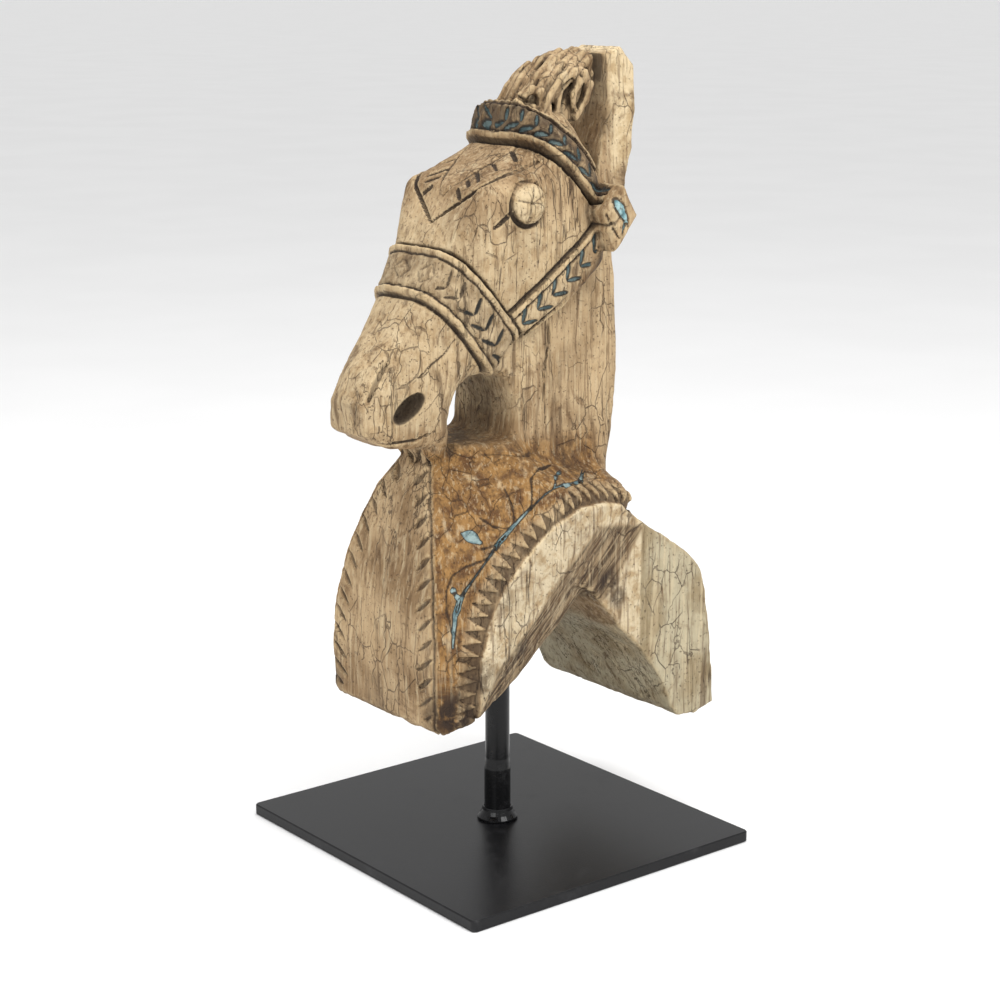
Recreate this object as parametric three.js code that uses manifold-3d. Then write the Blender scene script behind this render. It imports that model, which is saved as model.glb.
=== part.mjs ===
// A carved driftwood horse head and chest on a steel stand.
// Millimetres, +Z up. The horse faces -Y and its left side is +X.
// The origin is at the middle of the base plate's underside.

import * as THREE from "three";
import { mergeVertices } from "three/addons/utils/BufferGeometryUtils.js";
import Module from "manifold-3d";

const wasm = await Module();
wasm.setup();

// ---------------------------------------------------------------- driving dimensions

const JOINT_GAP = 0.3;

const PLATE = { width: 262, depth: 246, thick: 8, corner: 3, bevel: 0.8 };

const POST = { radius: 8.7, footRadius: 9.4, stepLow: 46, stepHigh: 54, top: 205, sides: 40 };
const COLLAR = { radius: 14.5, rim: 1.6, height: 9, waist: 10.6 };

// The carving is measured in side view as [y, z] points, and in half widths from its mid plane.
const CHEST = {
  halfWidth: 79,
  edgeRound: 8,
  panel: { spread: 0.69, steepness: 0.8, round: 4 },
  shoulder: { side: 50, y: 20, z: 269, fallOut: 0.45, fallBack: 0.2, steepness: 0.88, round: 10 },
  shoulderFront: { y: -25, steepness: 0.5, blend: 20 },
  archBevel: { y: 26, z: 233, back: 0.294, up: 0.3, steepness: 0.9, round: 5 },
  outline: [
    [-66, 292], [-82, 259], [-91, 226], [-98, 190], [-101, 150], [-100, 112], [-93, 106], [-83, 112], [-43, 131],
    [-21, 147], [10, 173], [27, 186], [50, 204], [62, 225], [66, 250], [60, 292], [0, 292],
  ],
  frontCornerY: [
    [105, -100], [145, -101], [180, -99], [210, -95], [235, -89], [259, -82], [291, -67], [300, -60],
  ],
  frontCornerHalf: [
    [105, 57], [145, 58.5], [165, 58], [195, 52.5], [215, 47.5], [237, 39.5], [262, 28], [291, 9], [300, 4],
  ],
};

const RUMP = {
  halfWidth: 72,
  edgeRound: 4,
  outline: [
    [27, 186], [53, 155], [73, 136], [91, 110], [101, 88], [108, 81], [125, 79], [143, 84], [142, 98], [137, 140],
    [133, 170], [126, 190], [116, 200], [57, 239], [40, 250], [0, 250], [0, 200],
  ],
};

const NECK = {
  outline: [
    [-34, 280], [-15, 292], [-12, 315], [-18, 334], [-40, 346], [-30, 380], [0, 420], [40, 450], [66, 462],
    [76, 499], [79, 515], [77, 544], [91, 549], [103, 536], [103, 505], [100, 480], [91, 452], [83, 430],
    [77, 410], [80, 350], [80, 330], [78, 300], [68, 258], [50, 230], [0, 250],
  ],
  halfWidth: [[240, 36], [270, 37], [300, 35], [400, 34], [440, 29], [470, 24], [550, 21]],
  edgeRound: [[300, 7], [420, 7], [470, 3]],
};

// Along the head, t runs from the brow down to the nose and s runs from the face back to the throat.
const HEAD = {
  brow: { y: 0, z: 489 },
  axis: { y: -0.52, z: -0.854 },
  faceCorner: { spread: 0.9, front: -20, steepness: 0.74 },
  outline: [
    [2, 512], [-1, 488], [-44, 461], [-56, 438], [-66, 418], [-82, 392], [-100, 367], [-119, 347], [-129, 326],
    [-125, 306], [-105, 295], [-80, 292], [-60, 291], [-60, 310], [-57, 331], [-48, 338], [-36, 338], [-17, 362],
    [17, 379], [37, 396], [52, 412], [62, 430], [62, 462], [56, 488], [40, 509],
  ],
  cheekHalf: [[-20, 44], [0, 48], [40, 51], [75, 50], [110, 45], [145, 38], [180, 33], [205, 29]],
  faceHalf: [[-20, 40], [30, 47], [50, 47], [72, 40], [92, 32], [110, 28], [145, 26], [182, 24], [205, 23]],
  cheekRound: [[-20, 42], [15, 36], [45, 11], [100, 14], [205, 14]],
  faceRound: [[0, 4], [60, 6], [100, 14], [205, 12]],
};

const BAND = { raise: 2.6, edgeRound: 1.5 };
const NOSEBAND = { normal: { y: -0.76, z: -0.65 }, middle: -209, half: 16 };
const BROWBAND = { normal: { y: -0.717, z: -0.697 }, middle: -351, half: 12, sag: 5, sagAt: 45 };
const CHEEK_STRAP = { normal: { y: -0.61, z: 0.79 }, middle: 303, half: 13, innerSide: 40 };

const EYE = { x: 50, y: -14, z: 451, radius: 14, proud: 5 };
const NOSTRIL = { x: 29, y: -98, z: 325, length: 12, width: 6, depth: 8 };
const ROSETTE = { x: 56, y: 53, z: 440, out: 14, back: 17, tall: 21 };
const CHIN_HOLE = { y: -39, z: 315, halfY: 24, halfZ: 23, squareness: 2.5 };

// Each lock of the forelock is a tapering roll: [x, y, z] at the root and at the tip.
const FORELOCK = [
  { root: [-19, 22, 500], tip: [-14, 40, 528], thick: 9, thin: 7 },
  { root: [-8, 26, 505], tip: [-4, 56, 540], thick: 11, thin: 8 },
  { root: [4, 30, 505], tip: [2, 63, 542], thick: 11, thin: 8 },
  { root: [16, 36, 500], tip: [13, 62, 533], thick: 11, thin: 8 },
];

// The tuft under the lower lip stands on the top of the breast.
const CHIN_TUFT = { root: [-15, -66, 290], tip: [15, -66, 290], thick: 8, thin: 8 };

// How softly each form runs into the rest of the carving.
const BLEND = {
  rump: 4, neck: 9, head: 4, bridle: 1, eye: 2, lock: 4, rosette: 4, tuft: 4, nostril: 3, chinHole: 2,
};

const SKIN_CELL = 5;
const SKIN_TRIANGLES = 9200;
const SKIN_LOW = [-90, -140, 70];
const SKIN_HIGH = [90, 155, 560];

// ---------------------------------------------------------------- signed distance kit
// Every form below is a function of a point that is negative inside the wood and positive outside it.

const clamp = THREE.MathUtils.clamp;

function join(a, b, blend) {
  const h = Math.max(blend - Math.abs(a - b), 0) / blend;
  return Math.min(a, b) - h * h * blend * 0.25;
}

function trim(a, b, blend) {
  return -join(-a, -b, blend);
}

// A value read from a table of [position, value] rows, straight between the rows.
function along(position, rows) {
  if (position <= rows[0][0]) return rows[0][1];
  for (let i = 1; i < rows.length; i++) {
    const [p0, v0] = rows[i - 1];
    const [p1, v1] = rows[i];
    if (position <= p1) return v0 + ((v1 - v0) * (position - p0)) / (p1 - p0);
  }
  return rows[rows.length - 1][1];
}

// Distance from (y, z) to a closed outline, negative inside it.
function outlineDistance(y, z, points) {
  let nearest = Infinity;
  let inside = false;
  for (let i = 0, j = points.length - 1; i < points.length; j = i++) {
    const [ay, az] = points[i];
    const [by, bz] = points[j];
    const ey = by - ay;
    const ez = bz - az;
    const t = clamp(((y - ay) * ey + (z - az) * ez) / (ey * ey + ez * ez), 0, 1);
    nearest = Math.min(nearest, Math.hypot(y - ay - ey * t, z - az - ez * t));
    if (az > z !== bz > z && y < (ey * (z - az)) / ez + ay) inside = !inside;
  }
  return inside ? -nearest : nearest;
}

function ellipsoid(x, y, z, rx, ry, rz) {
  const level = Math.hypot(x / rx, y / ry, z / rz);
  const slope = Math.hypot(x / (rx * rx), y / (ry * ry), z / (rz * rz));
  return slope > 0 ? (level * (level - 1)) / slope : -Math.min(rx, ry, rz);
}

function taperedRoll(x, y, z, lock) {
  const [ax, ay, az] = lock.root;
  const [bx, by, bz] = lock.tip;
  const ex = bx - ax;
  const ey = by - ay;
  const ez = bz - az;
  const reach = (x - ax) * ex + (y - ay) * ey + (z - az) * ez;
  const t = clamp(reach / (ex * ex + ey * ey + ez * ez), 0, 1);
  const away = Math.hypot(x - ax - ex * t, y - ay - ey * t, z - az - ez * t);
  return away - (lock.thick + (lock.thin - lock.thick) * t);
}

// ---------------------------------------------------------------- the carving

// The breast is a shield in front, two slanting side panels, a sloped shoulder and a bevel over the arch.
function chestForm(side, y, z) {
  const { halfWidth, edgeRound, panel, shoulder, shoulderFront, archBevel } = CHEST;
  const spread = side - along(z, CHEST.frontCornerHalf) - panel.spread * (y - along(z, CHEST.frontCornerY));
  const outward = shoulder.fallOut * (side - shoulder.side);
  const drop = (z - shoulder.z + outward + shoulder.fallBack * (y - shoulder.y)) * shoulder.steepness;
  const front = (y - shoulderFront.y) * shoulderFront.steepness;
  const overArch = archBevel.back * (y - archBevel.y) - archBevel.up * (z - archBevel.z);
  const bevel = (side - halfWidth) * archBevel.steepness + overArch;
  let d = trim(outlineDistance(y, z, CHEST.outline), spread * panel.steepness, panel.round);
  d = trim(d, side - halfWidth, edgeRound);
  d = trim(d, bevel, archBevel.round);
  return trim(d, join(drop, front, shoulderFront.blend), shoulder.round);
}

function rumpForm(side, y, z) {
  return trim(outlineDistance(y, z, RUMP.outline), side - RUMP.halfWidth, RUMP.edgeRound);
}

function neckForm(side, y, z) {
  return trim(outlineDistance(y, z, NECK.outline), side - along(z, NECK.halfWidth), along(z, NECK.edgeRound));
}

function headForm(side, y, z) {
  const dy = y - HEAD.brow.y;
  const dz = z - HEAD.brow.z;
  const t = HEAD.axis.y * dy + HEAD.axis.z * dz;
  const s = -HEAD.axis.z * dy + HEAD.axis.y * dz;
  const cheek = side - along(t, HEAD.cheekHalf);
  const { spread, front, steepness } = HEAD.faceCorner;
  const faceCorner = (side - along(t, HEAD.faceHalf) - (s - front) * spread) * steepness;
  const d = trim(outlineDistance(y, z, HEAD.outline), cheek, along(t, HEAD.cheekRound));
  return trim(d, faceCorner, along(t, HEAD.faceRound));
}

// How far a point is outside the strip of a bridle strap, which lies between two parallel planes.
function strapStrip(y, z, strap, sag = 0) {
  return Math.abs(strap.normal.y * y + strap.normal.z * z - strap.middle + sag) - strap.half;
}

function bridle(side, y, z, head) {
  const browSag = BROWBAND.sag * (side / BROWBAND.sagAt) ** 2;
  const behindNose = strapStrip(y, z, NOSEBAND);
  const aboveNose = NOSEBAND.normal.y * y + NOSEBAND.normal.z * z - NOSEBAND.middle;
  const cheekStrap = Math.max(strapStrip(y, z, CHEEK_STRAP), aboveNose, CHEEK_STRAP.innerSide - side);
  const straps = Math.min(behindNose, strapStrip(y, z, BROWBAND, browSag), cheekStrap);
  return trim(head - BAND.raise, straps, BAND.edgeRound);
}

function chinHole(y, z) {
  const u = Math.abs(y - CHIN_HOLE.y) / CHIN_HOLE.halfY;
  const v = Math.abs(z - CHIN_HOLE.z) / CHIN_HOLE.halfZ;
  const power = CHIN_HOLE.squareness;
  return (Math.pow(u ** power + v ** power, 1 / power) - 1) * CHIN_HOLE.halfZ;
}

function carvingDistance(x, y, z) {
  const side = Math.abs(x);
  let d = join(chestForm(side, y, z), rumpForm(side, y, z), BLEND.rump);
  d = join(d, neckForm(side, y, z), BLEND.neck);
  const head = headForm(side, y, z);
  d = join(d, join(head, bridle(side, y, z, head), BLEND.bridle), BLEND.head);
  d = join(d, ellipsoid(side - EYE.x, y - EYE.y, z - EYE.z, EYE.proud, EYE.radius, EYE.radius), BLEND.eye);
  for (const lock of FORELOCK) d = join(d, taperedRoll(x, y, z, lock), BLEND.lock);
  const { out, back, tall } = ROSETTE;
  d = join(d, ellipsoid(side - ROSETTE.x, y - ROSETTE.y, z - ROSETTE.z, out, back, tall), BLEND.rosette);
  d = join(d, taperedRoll(x, y, z, CHIN_TUFT), BLEND.tuft);
  const { depth, width, length } = NOSTRIL;
  const nostril = ellipsoid(side - NOSTRIL.x, y - NOSTRIL.y, z - NOSTRIL.z, depth, width, length);
  d = trim(d, -nostril, BLEND.nostril);
  return trim(d, -chinHole(y, z), BLEND.chinHole);
}

// ---------------------------------------------------------------- skin of a distance function
// Surface nets: one vertex in each cell for each sheet of surface that crosses it, and one quad across each
// grid edge that the surface cuts.

function gridOf(low, high, cell) {
  const count = low.map((v, i) => Math.ceil((high[i] - v) / cell) + 1);
  const index = (i, j, k) => i + count[0] * (j + count[1] * k);
  return { low, cell, count, index };
}

function sampled(distance, grid) {
  const [nx, ny, nz] = grid.count;
  const values = new Float32Array(nx * ny * nz);
  for (let k = 0; k < nz; k++) {
    for (let j = 0; j < ny; j++) {
      for (let i = 0; i < nx; i++) {
        const [x, y, z] = [i, j, k].map((n, a) => grid.low[a] + n * grid.cell);
        values[grid.index(i, j, k)] = distance(x, y, z);
      }
    }
  }
  return values;
}

// The twelve edges of a cell, each with its axis and the corner where it starts.
const CELL_EDGES = [0, 1, 2].flatMap((axis) =>
  [0, 1, 2, 3].map((corner) => {
    const start = [0, 0, 0];
    start[(axis + 1) % 3] = corner & 1;
    start[(axis + 2) % 3] = corner >> 1;
    return { axis, start };
  }),
);

// The four edges of each of the six faces of a cell.
const CELL_FACES = [0, 1, 2].flatMap((normal) =>
  [0, 1].map((level) =>
    CELL_EDGES.flatMap(({ axis, start }, e) => (axis !== normal && start[normal] === level ? [e] : [])),
  ),
);

// Groups the cut edges of a cell into separate sheets, and gives each sheet the middle of its cuts.
// Where a face has four cuts, the two beside each inner corner belong together.
function cellSheets(values, grid, cellAt) {
  const ends = CELL_EDGES.map(({ axis, start }) => {
    const from = start.map((n, i) => n + cellAt[i]);
    const to = [...from];
    to[axis] += 1;
    return { from, to, a: values[grid.index(...from)], b: values[grid.index(...to)] };
  });
  const cut = ends.map(({ a, b }) => a < 0 !== b < 0);
  if (!cut.includes(true)) return [];
  const sheetOf = CELL_EDGES.map((_, e) => e);
  const tie = (e, f) => {
    const [keep, drop] = [sheetOf[e], sheetOf[f]];
    sheetOf.forEach((sheet, n) => (sheetOf[n] = sheet === drop ? keep : sheet));
  };
  const innerCorner = ({ from, to, a }) => String(a < 0 ? from : to);
  for (const face of CELL_FACES) {
    const cuts = face.filter((e) => cut[e]);
    for (const e of cuts) {
      for (const f of cuts) {
        if (cuts.length === 2 || innerCorner(ends[e]) === innerCorner(ends[f])) tie(e, f);
      }
    }
  }
  const sheets = new Map();
  CELL_EDGES.forEach(({ axis }, e) => {
    if (!cut[e]) return;
    const { from, a, b } = ends[e];
    const point = [...from];
    point[axis] += a / (a - b);
    const sheet = sheets.get(sheetOf[e]) ?? { edges: [], sum: [0, 0, 0] };
    sheet.edges.push(e);
    point.forEach((n, i) => (sheet.sum[i] += n));
    sheets.set(sheetOf[e], sheet);
  });
  return [...sheets.values()].map(({ edges, sum }) => ({
    edges,
    point: sum.map((n, i) => grid.low[i] + (n / edges.length) * grid.cell),
  }));
}

// Slides a vertex along the slope of the distance until it lies on the surface.
function settle(point, distance, reach) {
  const h = 0.5;
  let [x, y, z] = point;
  for (let step = 0; step < 3; step++) {
    const d = distance(x, y, z);
    const gx = distance(x + h, y, z) - distance(x - h, y, z);
    const gy = distance(x, y + h, z) - distance(x, y - h, z);
    const gz = distance(x, y, z + h) - distance(x, y, z - h);
    const slope = Math.max(Math.hypot(gx, gy, gz) / (2 * h), 0.3);
    const move = clamp(d / slope, -reach, reach) / (2 * h * slope);
    x -= gx * move;
    y -= gy * move;
    z -= gz * move;
  }
  return [x, y, z];
}

function skin(distance, low, high, cell) {
  const grid = gridOf(low, high, cell);
  const values = sampled(distance, grid);
  const [nx, ny, nz] = grid.count;
  const vertexOf = new Map();
  const positions = [];
  for (let k = 0; k < nz - 1; k++) {
    for (let j = 0; j < ny - 1; j++) {
      for (let i = 0; i < nx - 1; i++) {
        for (const { edges, point } of cellSheets(values, grid, [i, j, k])) {
          const home = grid.index(i, j, k) * CELL_EDGES.length;
          for (const e of edges) vertexOf.set(home + e, positions.length / 3);
          positions.push(...settle(point, distance, cell * 0.25));
        }
      }
    }
  }
  const indices = [];
  for (let axis = 0; axis < 3; axis++) {
    const [u, v] = [(axis + 1) % 3, (axis + 2) % 3];
    for (let k = 1; k < nz - 1; k++) {
      for (let j = 1; j < ny - 1; j++) {
        for (let i = 1; i < nx - 1; i++) {
          const here = [i, j, k];
          const next = [i, j, k];
          next[axis] += 1;
          const inside = values[grid.index(...here)] < 0;
          if (inside === values[grid.index(...next)] < 0) continue;
          const ring = [[0, 0], [1, 0], [1, 1], [0, 1]].map(([du, dv]) => {
            const at = [i, j, k];
            at[u] -= du;
            at[v] -= dv;
            return vertexOf.get(grid.index(...at) * CELL_EDGES.length + axis * 4 + du + 2 * dv);
          });
          if (!inside) ring.reverse();
          indices.push(ring[0], ring[1], ring[2], ring[0], ring[2], ring[3]);
        }
      }
    }
  }
  const geometry = new THREE.BufferGeometry();
  geometry.setAttribute("position", new THREE.Float32BufferAttribute(positions, 3));
  geometry.setIndex(indices);
  return geometry;
}

// ---------------------------------------------------------------- thinning a skin
// Edges are collapsed while the surface they leave stays close to the planes of the triangles they replace.
// A quadric is the ten sums that give the squared distance from a point to a set of planes.

function planeQuadric(a, b, c) {
  const normal = b.clone().sub(a).cross(c.clone().sub(a));
  const area = normal.length() || 1e-9;
  normal.divideScalar(area);
  const { x, y, z } = normal;
  const w = -normal.dot(a);
  return [x * x, x * y, x * z, x * w, y * y, y * z, y * w, z * z, z * w, w * w].map((v) => v * area);
}

// The point nearest to all the planes of a quadric, drawn a little towards the middle of the edge.
function bestPoint(q, middle) {
  const pull = 1e-3 * (q[0] + q[4] + q[7]);
  const matrix = new THREE.Matrix3();
  matrix.set(q[0] + pull, q[1], q[2], q[1], q[4] + pull, q[5], q[2], q[5], q[7] + pull);
  const right = middle.clone().multiplyScalar(pull).sub(new THREE.Vector3(q[3], q[6], q[8]));
  return right.applyMatrix3(matrix.invert());
}

function quadricError(q, { x, y, z }) {
  const squares = q[0] * x * x + q[4] * y * y + q[7] * z * z + q[9];
  return squares + 2 * (q[1] * x * y + q[2] * x * z + q[3] * x + q[5] * y * z + q[6] * y + q[8] * z);
}

function thinned(geometry, wanted) {
  const corner = geometry.attributes.position;
  const pointAt = (i) => new THREE.Vector3().fromBufferAttribute(corner, i);
  const points = Array.from({ length: corner.count }, (_, i) => pointAt(i));
  const faces = [];
  for (let i = 0; i < geometry.index.count; i += 3) {
    faces.push([0, 1, 2].map((n) => geometry.index.getX(i + n)));
  }
  const facesOf = points.map(() => new Set());
  const quadrics = points.map(() => new Array(10).fill(0));
  faces.forEach((face, f) => {
    const q = planeQuadric(...face.map((v) => points[v]));
    for (const v of face) {
      facesOf[v].add(f);
      q.forEach((value, n) => (quadrics[v][n] += value));
    }
  });
  let left = faces.length;

  const neighbours = (v) => new Set([...facesOf[v]].flatMap((f) => faces[f]).filter((other) => other !== v));

  // True if every face that moves with vertex v keeps facing the same way and stays well shaped.
  function facesSurvive(v, other, target) {
    for (const f of facesOf[v]) {
      if (faces[f].includes(other)) continue;
      const before = faces[f].map((n) => points[n]);
      const after = faces[f].map((n) => (n === v ? target : points[n]));
      const was = before[1].clone().sub(before[0]).cross(before[2].clone().sub(before[0])).normalize();
      const now = after[1].clone().sub(after[0]).cross(after[2].clone().sub(after[0]));
      const longest = Math.max(...after.map((p, n) => p.distanceToSquared(after[(n + 1) % 3])));
      if (now.length() < 0.1 * longest || was.dot(now.normalize()) < 0.5) return false;
    }
    return true;
  }

  function collapse(a, b, limit) {
    const q = quadrics[a].map((value, n) => value + quadrics[b][n]);
    const target = bestPoint(q, points[a].clone().lerp(points[b], 0.5));
    if (quadricError(q, target) > limit) return;
    const around = neighbours(b);
    const shared = [...neighbours(a)].filter((v) => around.has(v));
    if (shared.length !== 2 || !facesSurvive(a, b, target) || !facesSurvive(b, a, target)) return;
    for (const f of facesOf[b]) {
      if (faces[f].includes(a)) {
        for (const v of faces[f]) if (v !== b) facesOf[v].delete(f);
        faces[f] = null;
        left -= 1;
      } else {
        faces[f] = faces[f].map((v) => (v === b ? a : v));
        facesOf[a].add(f);
      }
    }
    facesOf[b].clear();
    points[a] = target;
    quadrics[a] = q;
  }

  for (let pass = 1; left > wanted && pass < 60; pass++) {
    const limit = 0.02 * 1.3 ** pass;
    for (let f = 0; f < faces.length && left > wanted; f++) {
      for (let n = 0; n < 3 && faces[f]; n++) collapse(faces[f][n], faces[f][(n + 1) % 3], limit);
    }
  }
  const result = new THREE.BufferGeometry();
  result.setAttribute("position", new THREE.Float32BufferAttribute(points.flatMap((p) => p.toArray()), 3));
  result.setIndex(faces.filter(Boolean).flat());
  return result;
}

// ---------------------------------------------------------------- solids and booleans

function solidOf(geometry) {
  const bare = geometry.clone();
  bare.deleteAttribute("normal");
  bare.deleteAttribute("uv");
  const merged = mergeVertices(bare, 1e-3);
  const vertProperties = Float32Array.from(merged.attributes.position.array);
  const triVerts = Uint32Array.from(merged.index.array);
  return new wasm.Manifold(new wasm.Mesh({ numProp: 3, vertProperties, triVerts }));
}

function geometryOf(solid) {
  const mesh = solid.getMesh();
  const geometry = new THREE.BufferGeometry();
  geometry.setAttribute("position", new THREE.BufferAttribute(mesh.vertProperties, 3));
  geometry.setIndex(new THREE.BufferAttribute(mesh.triVerts, 1));
  geometry.computeVertexNormals();
  return geometry;
}

function upright(profile, sides) {
  const points = profile.map(([radius, height]) => new THREE.Vector2(radius, height));
  return new THREE.LatheGeometry(points, sides).rotateX(Math.PI / 2);
}

// ---------------------------------------------------------------- the pieces

function plateGeometry() {
  const { width, depth, thick, corner, bevel } = PLATE;
  const x = width / 2 - bevel;
  const y = depth / 2 - bevel;
  const shape = new THREE.Shape();
  shape.moveTo(-x + corner, -y);
  shape.lineTo(x - corner, -y);
  shape.absarc(x - corner, -y + corner, corner, -Math.PI / 2, 0, false);
  shape.lineTo(x, y - corner);
  shape.absarc(x - corner, y - corner, corner, 0, Math.PI / 2, false);
  shape.lineTo(-x + corner, y);
  shape.absarc(-x + corner, y - corner, corner, Math.PI / 2, Math.PI, false);
  shape.lineTo(-x, -y + corner);
  shape.absarc(-x + corner, -y + corner, corner, Math.PI, 1.5 * Math.PI, false);
  const options = {
    depth: thick - 2 * bevel,
    bevelEnabled: true,
    bevelThickness: bevel,
    bevelSize: bevel,
    bevelSegments: 1,
    curveSegments: 5,
  };
  return new THREE.ExtrudeGeometry(shape, options).translate(0, 0, bevel);
}

function postGeometry() {
  const foot = PLATE.thick + JOINT_GAP;
  const chamfer = 1;
  return upright([
    [0, foot], [POST.footRadius, foot], [POST.footRadius, POST.stepLow], [POST.radius, POST.stepHigh],
    [POST.radius, POST.top - chamfer], [POST.radius - chamfer, POST.top], [0, POST.top],
  ], POST.sides);
}

// A flared collar round the foot of the post: a thin rim below a hollow-sided cone.
function collarGeometry() {
  const foot = PLATE.thick + JOINT_GAP;
  const inner = POST.footRadius + JOINT_GAP;
  const top = foot + COLLAR.height;
  const rise = COLLAR.height - COLLAR.rim;
  const outer = COLLAR.radius;
  const chamfer = 0.5;
  const rimTop = foot + COLLAR.rim;
  const profile = [[inner, foot], [outer - chamfer, foot], [outer, foot + chamfer], [outer, rimTop]];
  for (const part of [0.35, 0.7]) {
    const radius = COLLAR.waist + (outer - COLLAR.waist) * (1 - part) ** 1.8;
    profile.push([radius, foot + COLLAR.rim + rise * part]);
  }
  profile.push([COLLAR.waist, top], [inner, top], [inner, foot]);
  return upright(profile, POST.sides);
}

// The socket holds the top of the post, with the gap of a close fit all round and above it.
function socketGeometry() {
  const radius = POST.radius + JOINT_GAP;
  const top = POST.top + JOINT_GAP;
  const bottom = 100;
  return upright([[0, bottom], [radius, bottom], [radius, top], [0, top]], POST.sides);
}

function carvingGeometry() {
  const body = solidOf(thinned(skin(carvingDistance, SKIN_LOW, SKIN_HIGH, SKIN_CELL), SKIN_TRIANGLES));
  return geometryOf(body.subtract(solidOf(socketGeometry())));
}

// ---------------------------------------------------------------- the scene

const blackSteel = { color: 0x1c1c1e, roughness: 0.45, metalness: 0.6 };
const oldWood = { color: 0xb99a6b, roughness: 0.85, metalness: 0, flatShading: true };
const object = new THREE.Group();

function place(name, geometry, look) {
  const mesh = new THREE.Mesh(geometry, new THREE.MeshStandardMaterial(look));
  mesh.name = name;
  object.add(mesh);
}

place("base_plate", plateGeometry(), blackSteel);
place("post", postGeometry(), blackSteel);
place("foot_collar", collarGeometry(), { ...blackSteel, roughness: 0.25 });
place("horse_carving", carvingGeometry(), oldWood);

export default object;
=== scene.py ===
"""Looks of the driftwood horse head sculpture: carved wood in fine relief, black steel stand, studio.

The carving is sculpted as a signed distance in millimetres, in the same frame as the CAD: +Z up, the
horse faces -Y, its left side is +X. Blender objects are made from it in metres.
"""

import math

import bpy
import numpy as np
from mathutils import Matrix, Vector


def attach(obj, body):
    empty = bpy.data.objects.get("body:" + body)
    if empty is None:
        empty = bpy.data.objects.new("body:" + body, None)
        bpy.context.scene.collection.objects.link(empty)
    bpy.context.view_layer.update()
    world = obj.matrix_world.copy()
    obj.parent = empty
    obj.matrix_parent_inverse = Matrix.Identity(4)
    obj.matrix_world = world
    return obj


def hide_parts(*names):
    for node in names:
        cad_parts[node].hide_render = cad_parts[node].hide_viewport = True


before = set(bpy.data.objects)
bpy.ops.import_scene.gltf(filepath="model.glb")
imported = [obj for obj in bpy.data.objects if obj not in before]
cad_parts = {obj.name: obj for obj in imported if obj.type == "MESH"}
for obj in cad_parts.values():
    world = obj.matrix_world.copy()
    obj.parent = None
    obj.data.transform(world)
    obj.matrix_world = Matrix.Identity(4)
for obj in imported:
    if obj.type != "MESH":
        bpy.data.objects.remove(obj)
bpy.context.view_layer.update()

MM = 0.001
CELL, QUICK_CELL = 1.3, 2.6  # grid steps of the sculpting, in mm
FAR = 9.0  # stands for every distance that is too large to matter

# ---------------------------------------------------------------- signed distance kit
# A distance is negative inside the wood. Most work on arrays that broadcast together.


def join(a, b, blend):
    """Both solids, with a fillet of the given size between them."""
    h = np.maximum(blend - np.abs(a - b), 0) / blend
    return np.minimum(a, b) - h * h * blend * 0.25


def trim(a, b, blend):
    """What both solids share, with the edge between them rounded."""
    return -join(-a, -b, blend)


def along(position, rows):
    """A value read from rows of (position, value), straight between them."""
    return np.interp(position, [p for p, _ in rows], [v for _, v in rows]).astype(np.float32)


def ellipsoid(x, y, z, rx, ry, rz):
    level = np.sqrt((x / rx) ** 2 + (y / ry) ** 2 + (z / rz) ** 2)
    slope = np.sqrt((x / rx**2) ** 2 + (y / ry**2) ** 2 + (z / rz**2) ** 2)
    return level * (level - 1) / np.maximum(slope, 1e-6)


def path_place(y, z, points, closed=False):
    """Distance to a path of (y, z) points, the signed side of it, and the length run to the nearest spot."""
    ends = points[1:] + (points[:1] if closed else [])
    nearest = np.full(np.broadcast(y, z).shape, 1e9, np.float32)
    side = np.zeros_like(nearest)
    run = np.zeros_like(nearest)
    passed = 0.0
    for (ay, az), (by, bz) in zip(points, ends):
        ey, ez = by - ay, bz - az
        size = math.hypot(ey, ez)
        t = np.clip(((y - ay) * ey + (z - az) * ez) / size**2, 0, 1)
        gap = np.hypot(y - ay - ey * t, z - az - ez * t)
        near = gap < nearest
        nearest = np.where(near, gap, nearest)
        side = np.where(near, (ey * (z - az) - ez * (y - ay)) / size, side)
        run = np.where(near, passed + t * size, run)
        passed += size
    return nearest, side, run


def outline_distance(y, z, points):
    """Distance to a closed outline of (y, z) points."""
    nearest = path_place(y, z, points, closed=True)[0]
    inside = np.zeros(nearest.shape, bool)
    for (ay, az), (by, bz) in zip(points, points[-1:] + points[:-1]):
        if az != bz:
            inside ^= ((az > z) != (bz > z)) & (y < (by - ay) * (z - az) / (bz - az) + ay)
    return np.where(inside, -nearest, nearest)


def roll(x, y, z, a, b, thick, thin):
    """A round stick from a to b, whose radius goes from thick to thin."""
    ex, ey, ez = (q - p for p, q in zip(a, b))
    t = np.clip(((x - a[0]) * ex + (y - a[1]) * ey + (z - a[2]) * ez) / (ex * ex + ey * ey + ez * ez), 0, 1)
    away = np.sqrt((x - a[0] - ex * t) ** 2 + (y - a[1] - ey * t) ** 2 + (z - a[2] - ez * t) ** 2)
    return away - (thick + (thin - thick) * t)


def bent_roll(x, y, z, points, radii, blend):
    d = None
    for a, b, thick, thin in zip(points, points[1:], radii, radii[1:]):
        piece = roll(x, y, z, a, b, thick, thin)
        d = piece if d is None else join(d, piece, blend)
    return d


# ---------------------------------------------------------------- plain form of the carving

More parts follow.
